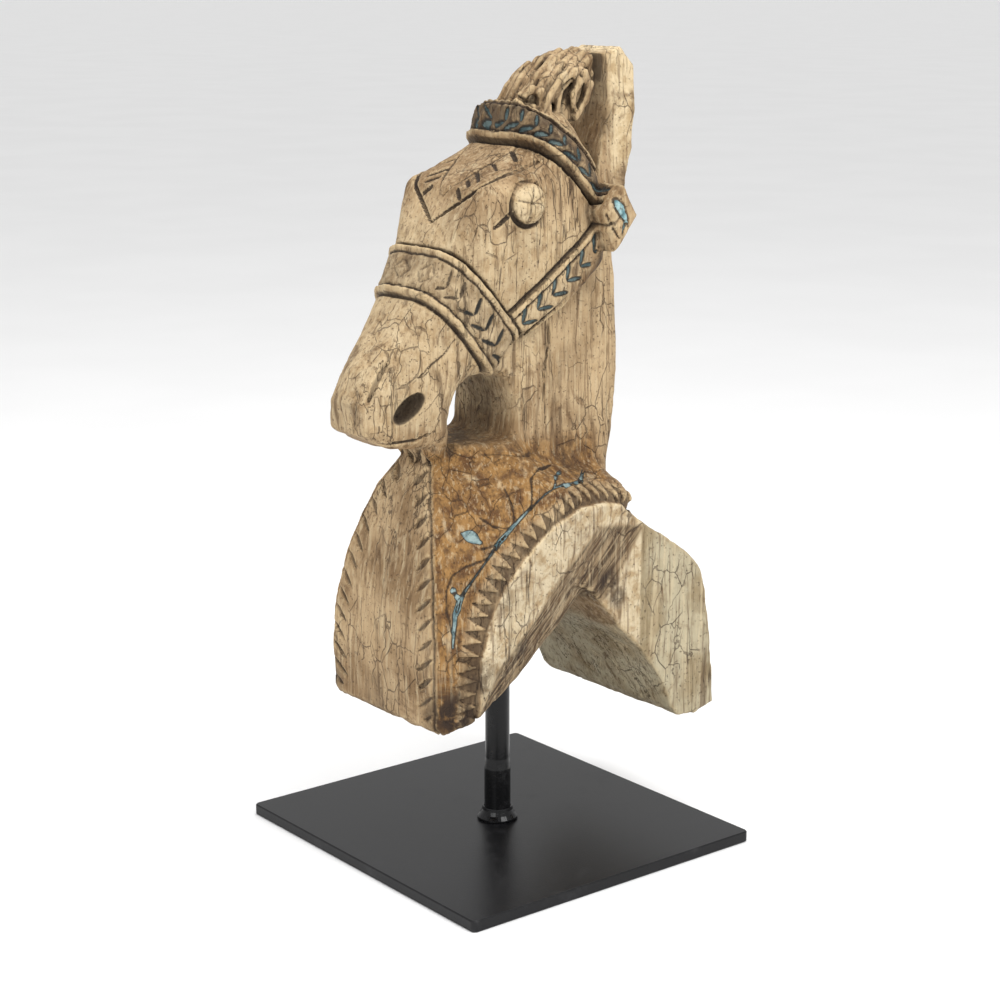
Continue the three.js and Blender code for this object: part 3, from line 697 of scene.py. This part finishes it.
def carved_grid(low, high, cell):
    """The distance to the carved, worn surface at each point of a grid."""
    axes = [np.arange(a, b + cell, cell, dtype=np.float32) for a, b in zip(low, high)]
    gx, gy, gz = np.ix_(*axes)
    d = plain_form(gx, gy, gz).astype(np.float32)
    for start, end, change in DETAILS:
        part = tuple(slice(*np.searchsorted(axis, (a, b))) for axis, a, b in zip(axes, start, end))
        d[part] = change(d[part], gx[part[0]], gy[:, part[1]], gz[:, :, part[2]])
    band = np.argwhere(np.abs(d) < BAND)
    spots = np.stack([axis[band[:, i]] for i, axis in enumerate(axes)], axis=1)
    slope = np.zeros_like(spots)
    for axis, step in enumerate(STEPS):
        ahead, behind = (np.clip(band + way * step, 0, np.array(d.shape) - 1) for way in (1, -1))
        slope[:, axis] = d[tuple(ahead.T)] - d[tuple(behind.T)]
    slope /= np.maximum(np.linalg.norm(slope, axis=1, keepdims=True), 1e-6)
    cut, _, _, finish = marks(spots, slope)
    d[tuple(band.T)] += (cut + weathering(spots, finish["strip"])).astype(np.float32)
    return d


def surface_net(d):
    """One vertex, in grid steps, in each cell that the surface crosses, and the quads that join them."""
    inside = d < 0
    corners = [np.array([i, j, k]) for i in (0, 1) for j in (0, 1) for k in (0, 1)]
    count = sum(shifted(inside, corner, 1 - corner).astype(np.int8) for corner in corners)
    mixed = (count > 0) & (count < 8)
    cells = np.argwhere(mixed)
    number = np.full(mixed.shape, -1, np.int64)
    number[mixed] = np.arange(len(cells))
    total = np.zeros((len(cells), 3))
    hits = np.zeros(len(cells))
    for axis, step in enumerate(STEPS):
        for corner in corners:
            if corner[axis]:
                continue
            a = d[tuple((cells + corner).T)]
            b = d[tuple((cells + corner + step).T)]
            crossed = (a < 0) != (b < 0)
            share = np.where(crossed, a / np.where(crossed, a - b, 1), 0)
            total += crossed[:, None] * (corner + share[:, None] * step)
            hits += crossed
    quads = []
    for axis, step in enumerate(STEPS):
        u, v = STEPS[(axis + 1) % 3], STEPS[(axis + 2) % 3]
        none = np.zeros(3, int)
        first = shifted(inside, none, step)
        edges = np.argwhere(first != shifted(inside, step, none))
        leaves = first[tuple(edges.T)]
        around = [number[tuple((edges - du * u - dv * v).T)] for du, dv in ((0, 0), (1, 0), (1, 1), (0, 1))]
        quad = np.stack(around, axis=1)
        quad[~leaves] = quad[~leaves][:, ::-1]
        quads.append(quad)
    return cells + total / hits[:, None], np.concatenate(quads)


def one_sheet(quads, count):
    """The quads of the largest sheet that hangs together, without any loose crumb."""
    label = np.arange(count)
    while True:
        low = label[quads].min(axis=1)
        lower = label.copy()
        for corner in range(4):
            np.minimum.at(lower, quads[:, corner], low)
        lower = lower[lower]
        if (lower == label).all():
            return quads[label[quads[:, 0]] == np.bincount(label).argmax()]
        label = lower


def vertex_normals(points, quads):
    a, b, c, d = (points[quads[:, k]] for k in range(4))
    face = np.cross(c - a, d - b)
    normals = np.zeros_like(points)
    for k in range(4):
        np.add.at(normals, quads[:, k], face)
    return normals / np.maximum(np.linalg.norm(normals, axis=1, keepdims=True), 1e-9)


def shade_of(d, spot, normals, cell):
    """How shut in each vertex is: 0 in the open, 1 deep in a cut."""
    shade = np.zeros(len(spot))
    for reach in SHADE_REACHES:
        at = np.clip(np.rint(spot + normals * reach / cell).astype(int), 0, np.array(d.shape) - 1)
        shade += np.clip(1 - d[tuple(at.T)] / reach, 0, 1) / len(SHADE_REACHES)
    return shade


def crest_of(points, quads, normals, rounds):
    """How far each vertex stands above (+) or lies below (-) the middle of its neighbours, in mm."""
    middle = points.copy()
    for _ in range(rounds):
        total = np.zeros_like(points)
        share = np.zeros(len(points))
        for k in range(4):
            a, b = quads[:, k], quads[:, (k + 1) % 4]
            for i, j in ((a, b), (b, a)):
                for n in range(3):
                    total[:, n] += np.bincount(i, middle[j, n], len(points))
                share += np.bincount(i, minlength=len(points))
        middle = total / np.maximum(share, 1)[:, None]
    return ((points - middle) * normals).sum(1)


def skin(low, high, cell):
    """The carving's surface: vertices in mm, quads, the way it faces, and how shut in it is."""
    d = carved_grid(low, high, cell)
    spot, quads = surface_net(d)
    points = np.array(low) + spot * cell
    quads = one_sheet(quads, len(points))
    normals = vertex_normals(points, quads)
    return points, quads, normals, shade_of(d, spot, normals, cell)


# ---------------------------------------------------------------- materials


def tone(red, green, blue):
    """Scene colour of a screen colour given as three numbers up to 255."""
    shares = [level / 255 for level in (red, green, blue)]
    return (*(c / 12.92 if c <= 0.04045 else ((c + 0.055) / 1.055) ** 2.4 for c in shares), 1)


class Look:
    """A material under construction. Each method adds a node and gives back its output."""

    def __init__(self, name):
        self.material = bpy.data.materials.new(name)
        self.material.use_nodes = True
        self.tree = self.material.node_tree
        self.shader = self.tree.nodes["Principled BSDF"]
        self.place = self.add("ShaderNodeTexCoord", "Object")

    def add(self, kind, out=0, settings=None, **inputs):
        made = self.tree.nodes.new(kind)
        for key, value in (settings or {}).items():
            setattr(made, key, value)
        for key, value in inputs.items():
            socket = int(key[1:]) if key[1:].isdigit() else key.replace("_", " ")
            self.feed(made.inputs[socket], value)
        return made.outputs[out]

    def feed(self, socket, value):
        if isinstance(value, bpy.types.NodeSocket):
            self.tree.links.new(value, socket)
        else:
            socket.default_value = value

    def math(self, operation, a, b=0.0):
        return self.add("ShaderNodeMath", settings={"operation": operation}, i0=a, i1=b)

    def times(self, a, b):
        return self.math("MULTIPLY", a, b)

    def mask(self, value, low, high):
        """0 where value is at low and 1 where it is at high, with a soft step between."""
        start, end = (1.0, 0.0) if low > high else (0.0, 1.0)
        return self.add(
            "ShaderNodeMapRange", settings={"interpolation_type": "SMOOTHSTEP"}, Value=value,
            From_Min=min(low, high), From_Max=max(low, high), To_Min=start, To_Max=end,
        )

    def line(self, value, level):
        """1 on the thin lines where a pattern passes a level."""
        return self.mask(self.math("ABSOLUTE", self.math("SUBTRACT", value, level)), 0.010, 0.002)

    def wash(self, colour, washes):
        """Tones laid over each other. A row is what drives it, its low and high, its strength, its tone."""
        for driver, low, high, strength, wash in washes:
            colour = self.mix(self.times(self.mask(driver, low, high), strength), colour, tone(*wash))
        return colour

    def mix(self, factor, a, b, blend="MIX"):
        return self.add("ShaderNodeMix", 2, {"data_type": "RGBA", "blend_type": blend}, i0=factor, i6=a, i7=b)

    def noise(self, scale, stretch=(1, 1, 1), detail=3.0, rough=0.55, bend=0.0, turn=0.0):
        """Cloudy noise. Stretch makes its marks longer along an axis, after a turn about X."""
        place = self.add("ShaderNodeMapping", Vector=self.place, Rotation=(turn, 0, 0))
        place = self.add("ShaderNodeMapping", Vector=place, Scale=stretch)
        return self.add(
            "ShaderNodeTexNoise", Vector=place, Scale=scale, Detail=detail, Roughness=rough, Distortion=bend,
        )

    def carried(self, name):
        """A number that the piece's mesh carries at each vertex."""
        return self.add("ShaderNodeAttribute", "Fac", {"attribute_name": name})

    def bump(self, height, distance):
        return self.add("ShaderNodeBump", Height=height, Distance=distance, Strength=1.0)

    def finish(self, **inputs):
        for key, value in inputs.items():
            self.feed(self.shader.inputs[key.replace("_", " ")], value)
        return self.material


def cracks(look):
    """Where hairlines run: a network that comes and goes, and long splits with the grain."""
    bend = look.noise(30, detail=4.0)
    bent = look.add(
        "ShaderNodeVectorMath", settings={"operation": "MULTIPLY_ADD"},
        i0=bend, i1=(0.02, 0.02, 0.02), i2=look.place,
    )
    bent = look.add("ShaderNodeMapping", Vector=bent, Scale=(1, 1, 0.5))
    web = look.add("ShaderNodeTexVoronoi", settings={"feature": "DISTANCE_TO_EDGE"}, Vector=bent, Scale=74)
    hair = look.times(look.mask(web, 0.022, 0.006), 0.8)
    hair = look.times(hair, look.mask(look.noise(26, detail=2.0), 0.48, 0.58))
    split = look.line(look.noise(60, (1, 1, 0.05), 4.0, 0.6, 0.3), 0.46)
    split = look.times(split, look.mask(look.noise(20, (1, 1, 0.3), 2.0), 0.48, 0.58))
    return look.math("MAXIMUM", hair, split)


def painted(look, colour):
    """Turquoise paint in the slots and the vine, worn away in places, dark round its edge."""
    paint = look.carried("paint")
    colour = look.wash(colour, [(paint, 1.1, 0.3, 0.85, (32, 34, 32))])
    on_bridle = look.mask(look.add("ShaderNodeSeparateXYZ", "Z", Vector=look.place), 0.29, 0.32)
    deep = look.mix(on_bridle, tone(80, 104, 108), tone(86, 124, 130))
    chalky = look.mix(on_bridle, tone(138, 156, 154), tone(150, 180, 180))
    blue = look.mix(look.mask(look.noise(160, detail=3.0), 0.38, 0.62), deep, chalky)
    kept = look.mask(look.noise(90, detail=3.0), 0.3, 0.42)
    return look.mix(look.times(look.mask(paint, 0.2, -0.4), kept), colour, blue)


def driftwood():
    """Weathered wood in six finishes, with grain, stains and cracks, painted shade in the cuts and hollows,
    and lighter raised edges.
    """
    look = Look("driftwood")
    blotch = look.noise(24, detail=4.0, rough=0.6)
    mottle = look.noise(110, detail=5.0, rough=0.65, bend=0.4)
    grain = look.noise(420, (1, 1, 0.06), 3.0, 0.6)
    vein = look.noise(90, (1, 1, 0.12), 3.0, 0.6, 0.6)
    grit = look.noise(520, detail=2.0, rough=0.5)
    strand = look.noise(420, (1, 1, 0.05), 3.0, 0.6, turn=math.radians(45))
    darkening = look.noise(38, detail=6.0, rough=0.7, bend=0.8)

    colour = look.mix(look.mask(blotch, 0.34, 0.66), tone(146, 118, 84), tone(200, 173, 136))
    finishes = [
        ("orange", mottle, 0.36, 0.62, (102, 68, 32), (166, 126, 74)),
        ("grey", blotch, 0.38, 0.62, (158, 141, 110), (198, 188, 162)),
        ("pale", mottle, 0.34, 0.60, (196, 170, 130), (236, 216, 180)),
        ("cream", mottle, 0.35, 0.60, (192, 166, 128), (236, 220, 190)),
        ("strip", strand, 0.40, 0.60, (78, 60, 42), (164, 142, 112)),
    ]
    for zone, pattern, low, high, dark, light in finishes:
        wood = look.mix(look.mask(pattern, low, high), tone(*dark), tone(*light))
        colour = look.mix(look.carried(zone), colour, wood)

    crack = cracks(look)
    crest = look.carried("crest")
    colour = look.wash(colour, [
        (darkening, 0.55, 0.70, 0.60, (104, 72, 40)),
        (vein, 0.56, 0.70, 0.62, (92, 66, 40)),
        (vein, 0.44, 0.30, 0.45, (226, 208, 174)),
        (grain, 0.53, 0.66, 0.55, (100, 74, 46)),
        (grain, 0.46, 0.34, 0.30, (232, 214, 180)),
        (grit, 0.64, 0.72, 0.55, (70, 48, 28)),
    ])
    colour = look.mix(look.times(crack, 0.7), colour, tone(64, 43, 26))
    # Lighter on raised edges; painted shade, darker in creases, in shut-in places and in the cuts.
    colour = look.wash(colour, [
        (crest, 0.06, 0.40, 0.50, (226, 202, 160)),
        (crest, -0.12, -0.50, 0.70, (60, 41, 25)),
        (look.carried("shade"), 0.24, 0.70, 0.70, (50, 35, 21)),
        (look.carried("cut_shade"), 0.50, 1.60, 0.88, (44, 31, 20)),
    ])
    # Grime on the strap grounds, and painted shade in hollows and between the teeth.
    colour = look.mix(look.times(look.carried("grime_and_shade"), look.mask(mottle, 0.74, 0.46)), colour, tone(50, 34, 21))
    colour = look.mix(1.0, colour, tone(222, 219, 212), "MULTIPLY")
    colour = painted(look, colour)

    height = look.math("ADD", look.times(grain, 0.8), look.times(mottle, 0.8))
    height = look.math("SUBTRACT", height, look.times(crack, 0.9))
    height = look.math("SUBTRACT", height, look.times(look.mask(grit, 0.62, 0.74), 0.5))
    rough = look.add("ShaderNodeMapRange", Value=mottle, To_Min=0.66, To_Max=0.92)
    return look.finish(Base_Color=colour, Roughness=rough, Normal=look.bump(height, 0.0012), IOR=1.42)


def black_steel(name, rough, paint):
    """Painted steel: near black, with a faint orange-peel skin and a little dust."""
    look = Look(name)
    peel = look.noise(900, detail=2.0)
    dust = look.mask(look.noise(60, detail=6.0, rough=0.7), 0.5, 0.8)
    colour = look.mix(look.times(dust, 0.35), tone(*paint), tone(74, 74, 76))
    shine = look.add("ShaderNodeMapRange", Value=dust, To_Min=rough, To_Max=rough + 0.14)
    skin_relief = look.bump(peel, 0.00008)
    return look.finish(
        Base_Color=colour, Roughness=shine, Normal=skin_relief, IOR=1.4, Specular_IOR_Level=0.35,
    )


# ---------------------------------------------------------------- pieces


def solid_piece(name, points, faces, normals, carried, material):
    """A mesh of points in mm, with the numbers for its material at each vertex, painted shade among them."""
    mesh = bpy.data.meshes.new(name)
    mesh.vertices.add(len(points))
    mesh.vertices.foreach_set("co", (points * MM).astype(np.float32).ravel())
    mesh.loops.add(faces.size)
    mesh.loops.foreach_set("vertex_index", faces.astype(np.int32).ravel())
    mesh.polygons.add(len(faces))
    mesh.polygons.foreach_set("loop_start", np.arange(0, faces.size, faces.shape[1], dtype=np.int32))
    mesh.update(calc_edges=True)
    mesh.validate()
    for key, values in carried.items():
        mesh.attributes.new(key, "FLOAT", "POINT").data.foreach_set("value", values.astype(np.float32))
    mesh.polygons.foreach_set("use_smooth", [True] * len(mesh.polygons))
    mesh.normals_split_custom_set_from_vertices(normals.tolist())
    mesh.materials.append(material)
    obj = bpy.data.objects.new(name, mesh)
    bpy.context.collection.objects.link(obj)
    return obj


CARVING_BOX = ((-82, -133, 75), (82, 147, 554))
PIECE_NAMES = ("carved_breast", "carved_neck", "carved_head")

# Painted shade in hollows and under overhangs: each spot is a centre (side, y, z), a reach in mm, and how
# strong it is.
SHADE_SPOTS = [
    ((64, -88, 122), 26, 1.0), ((76, -76, 146), 20, 0.7), ((76, -58, 200), 16, 0.5), ((40, 62, 230), 26, 1.0),
    ((70, 48, 180), 12, 0.8), ((40, -38, 312), 26, 1.0), ((0, -40, 312), 44, 1.0), ((48, 45, 395), 20, 0.6),
    ((52, 52, 408), 16, 0.9), ((30, 70, 500), 20, 0.5), ((0, 62, 520), 22, 0.8), ((76, -40, 160), 10, 0.8),
    ((72, 40, 192), 14, 1.0), ((12, 50, 516), 11, 1.0), ((8, 64, 536), 9, 1.0), ((50, 30, 276), 22, 0.5),
    ((0, -100, 120), 24, 0.35),
]


def shade_spots_at(points):
    place = np.stack([np.abs(points[:, 0]), points[:, 1], points[:, 2]], axis=1)
    grime_and_shade = np.zeros(len(points))
    for centre, reach, thick in SHADE_SPOTS:
        away = np.linalg.norm(place - np.array(centre), axis=1)
        grime_and_shade = np.maximum(grime_and_shade, thick * ramp(away, reach, reach * 0.25))
    return grime_and_shade


def carving_pieces(cell):
    """The carving as three meshes, one above another, whose shared edges shade alike."""
    points, quads, normals, shade = skin(*CARVING_BOX, cell)
    _, between, ground, carried = marks(points, normals)
    carried["crest"] = crest_of(points, quads, normals, rounds=2)
    carried["shade"] = shade
    # Grime on the strap grounds, with painted shade in the hollows and between the teeth.
    carried["grime_and_shade"] = np.maximum.reduce([shade_spots_at(points), 0.5 * between, ground])
    material = driftwood()
    height = points[quads].mean(axis=1)[:, 2]
    levels = np.quantile(height, [0, 1 / 3, 2 / 3, 1])
    levels[-1] += 1  # so that the topmost quad falls under the last level
    made = []
    for name, low, high in zip(PIECE_NAMES, levels, levels[1:]):
        faces = quads[(height >= low) & (height < high)]
        used, local = np.unique(faces, return_inverse=True)
        local = local.reshape(faces.shape)
        share = {key: values[used] for key, values in carried.items()}
        made.append(solid_piece(name, points[used], local, normals[used], share, material))
    return made


for piece in carving_pieces(CELL):
    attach(piece, "root")
    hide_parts("horse_carving")

satin = black_steel("satin_black", 0.2, (14, 14, 15))
plate_black = black_steel("plate_black", 0.32, (15, 15, 17))
gloss = black_steel("gloss_black", 0.12, (12, 12, 14))
for node, material in (("base_plate", plate_black), ("post", satin), ("foot_collar", gloss)):
    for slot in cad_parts[node].material_slots:
        slot.material = material

# ---------------------------------------------------------------- studio


def floor_sheet():
    look = Look("studio_floor")
    clouds = look.mask(look.noise(3, detail=2.0), 0.3, 0.7)
    tint = look.mix(clouds, (0.86, 0.86, 0.86, 1), (0.88, 0.88, 0.88, 1))
    bpy.ops.mesh.primitive_plane_add(size=160, location=(0, 0, 0))
    sheet = bpy.context.object
    sheet.name = "floor"
    sheet.data.materials.append(look.finish(Base_Color=tint, Roughness=0.7))
    return sheet


def softbox(name, place, target, size, power):
    data = bpy.data.lights.new(name, "AREA")
    data.shape = "RECTANGLE"
    data.size, data.size_y = size
    data.energy = power
    lamp = bpy.data.objects.new(name, data)
    lamp.location = place
    lamp.rotation_euler = (Vector(target) - Vector(place)).to_track_quat("-Z", "Y").to_euler()
    bpy.context.collection.objects.link(lamp)


floor_sheet()
world = bpy.data.worlds.new("studio")
bpy.context.scene.world = world
world.use_nodes = True
world.node_tree.nodes["Background"].inputs[0].default_value = (1, 1, 1, 1)
world.node_tree.nodes["Background"].inputs[1].default_value = 0.84
bpy.context.scene.view_settings.view_transform = "Standard"

MIDDLE = (0, 0, 0.28)
softbox("key", (1.6, 0.3, 1.7), MIDDLE, (1.0, 1.0), 22)
softbox("front", (0.9, -1.9, 1.1), MIDDLE, (1.2, 1.2), 15)
softbox("top", (0, 0, 2.4), MIDDLE, (1.6, 1.6), 24)

lens = bpy.data.cameras.new("camera")
lens.lens = 78.16
lens.sensor_width = 36
camera = bpy.data.objects.new("camera", lens)
camera.location = (1.14573, -0.90771, 0.59682)
camera.rotation_euler = Vector((-0.76094, 0.60442, -0.23590)).to_track_quat("-Z", "Y").to_euler()
bpy.context.collection.objects.link(camera)
bpy.context.scene.camera = camera
